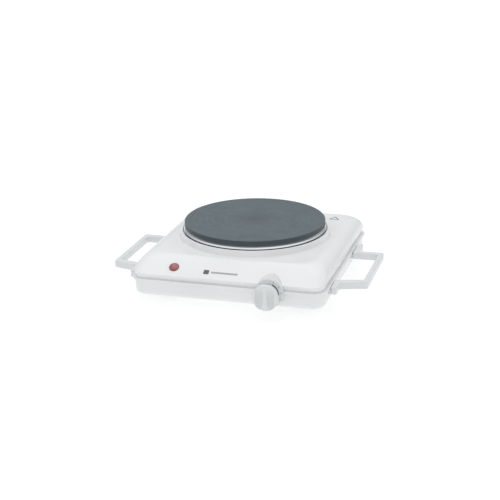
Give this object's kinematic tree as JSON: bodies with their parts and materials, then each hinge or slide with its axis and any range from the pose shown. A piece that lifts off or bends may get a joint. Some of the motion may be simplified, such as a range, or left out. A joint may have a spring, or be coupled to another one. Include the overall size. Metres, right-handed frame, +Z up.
{
  "type": "hot plate burner",
  "caption": "Portable electric hot plate: round cast-iron cooking plate in a steel rim on a flat white sheet case, with a heat knob, a pilot lamp and side handles.",
  "frame": {"origin": "on the ground under the middle of the overall width and depth", "axes": "+X to the right seen from the front, -Y towards the knob and lamp, +Z up"},
  "size_m": [0.3346, 0.294, 0.079],
  "materials": {
    "case_enamel": "smooth white gloss enamel, faintly pebbled",
    "white_plastic": "moulded white, satin to gloss",
    "dial_print": "printed dark grey",
    "plate_iron": "fine turned rings under a grey-blue heat coating",
    "ring_steel": "bright spun stainless steel",
    "coil_steel": "dull drawn tube",
    "insulation": "chalky pressed mineral",
    "zinc_steel": "zinc-plated",
    "steatite": "unglazed steatite",
    "brass_strip": "drawn",
    "lamp_red": "clear red lens",
    "lamp_cream": "moulded",
    "foot_rubber": "matt",
    "gland_black": "moulded nylon",
    "block_cream": "moulded",
    "cutout_black": "phenolic",
    "lead_brown": "silicone sleeve",
    "lead_blue": "silicone sleeve",
    "lead_green": "silicone sleeve"
  },
  "bodies": {
    "case": {"base_pan": "case_enamel", "bushing_nut": "zinc_steel", "centre_stud": "zinc_steel", "clamp_bar": "zinc_steel", "clamp_washer": "zinc_steel", "connector_block": "steatite", "connector_posts": "zinc_steel", "cord_gland": "gland_black", "corner_pillars": "zinc_steel", "cutout_lead": "lead_brown", "cutout_nut": "zinc_steel", "cutout_tabs": "brass_strip", "dial_bezel": "white_plastic", "dial_scale": "dial_print", "earth_insert": "brass_strip", "earth_lead": "lead_green", "earth_lug": "zinc_steel", "earth_nut": "zinc_steel", "earth_screw": "zinc_steel", "feet": "foot_rubber", "fixed_leaf": "brass_strip", "floor_screws": "zinc_steel", "foot_screws": "zinc_steel", "gland_nut": "gland_black", "handle_left": "white_plastic", "handle_right": "white_plastic", "handle_screws": "zinc_steel", "heat_shield": "zinc_steel", "hotplate": "plate_iron", "inner_coil": "coil_steel", "inner_filling": "insulation", "lamp_body": "lamp_cream", "lamp_lens": "lamp_red", "lamp_live_lead": "lead_brown", "lamp_neutral_lead": "lead_blue", "lamp_ring": "zinc_steel", "live_insert": "brass_strip", "live_lead": "lead_brown", "mains_block": "block_cream", "moving_leaf": "brass_strip", "neutral_insert": "brass_strip", "neutral_lead": "lead_blue", "outer_coil": "coil_steel", "outer_filling": "insulation", "plate_cap": "zinc_steel", "shield_spacer": "zinc_steel", "spill_ring": "ring_steel", "stud_nuts": "zinc_steel", "thermal_cutout": "cutout_black", "thermostat_body": "steatite", "thermostat_bracket": "zinc_steel", "thermostat_bushing": "zinc_steel", "thermostat_frame": "zinc_steel", "thermostat_lead": "lead_brown", "top_shell": "case_enamel"},
    "control": {"knob": "white_plastic", "thermostat_shaft": "zinc_steel"},
    "pin": {"push_pin": "steatite"}
  },
  "joints": [
    {"name": "knob_turn", "type": "hinge", "parent": "case", "child": "control", "pos_m": [0.057, -0.129, 0.0312], "axis": [0, 1, 0], "range_deg": [0, 270]},
    {"name": "pin_slide", "type": "slide", "parent": "case", "child": "pin", "axis": [0, 1, 0], "range_m": [0, 0.0009]}
  ],
  "couplings": [
    {"joint": "pin_slide", "follows": "knob_turn", "m_per_rad": 0.00019}
  ]
}
